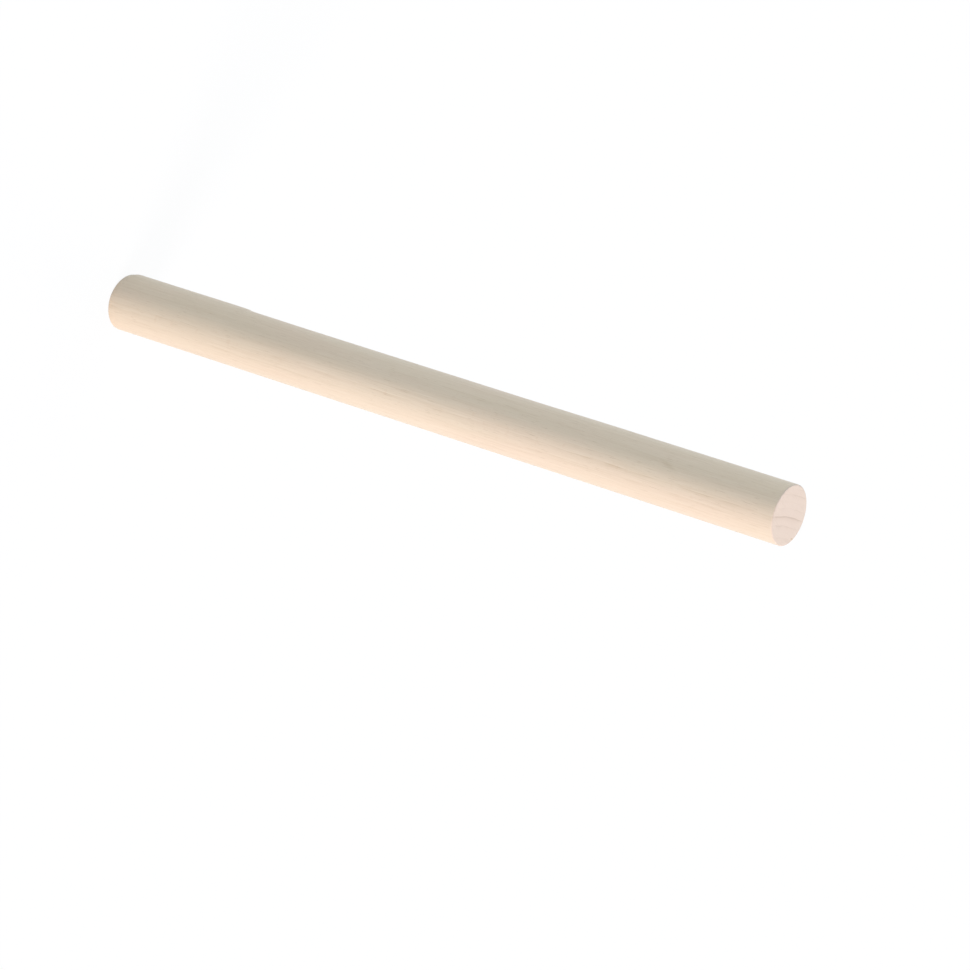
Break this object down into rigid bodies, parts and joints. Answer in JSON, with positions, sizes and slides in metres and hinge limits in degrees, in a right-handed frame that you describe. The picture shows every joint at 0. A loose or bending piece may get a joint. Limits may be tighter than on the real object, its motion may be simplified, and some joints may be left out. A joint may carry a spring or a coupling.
{
  "type": "wooden dowel rod",
  "caption": "Straight round rod of pale bare hardwood with square-sawn, lightly eased ends, used as a peg, spindle, axle or joining pin.",
  "frame": {"origin": "centre of the sawn end that the rod stands on", "axes": "+Z along the rod, up from the end it stands on; X and Y are across the rod, which is round"},
  "size_m": [0.022, 0.022, 0.3],
  "materials": {
    "wood": "bare pale hardwood, planed round along the shaft and sawn across the ends, matt with a faint sheen"
  },
  "bodies": {
    "root": {"dowel_rod": "wood"}
  },
  "joints": []
}
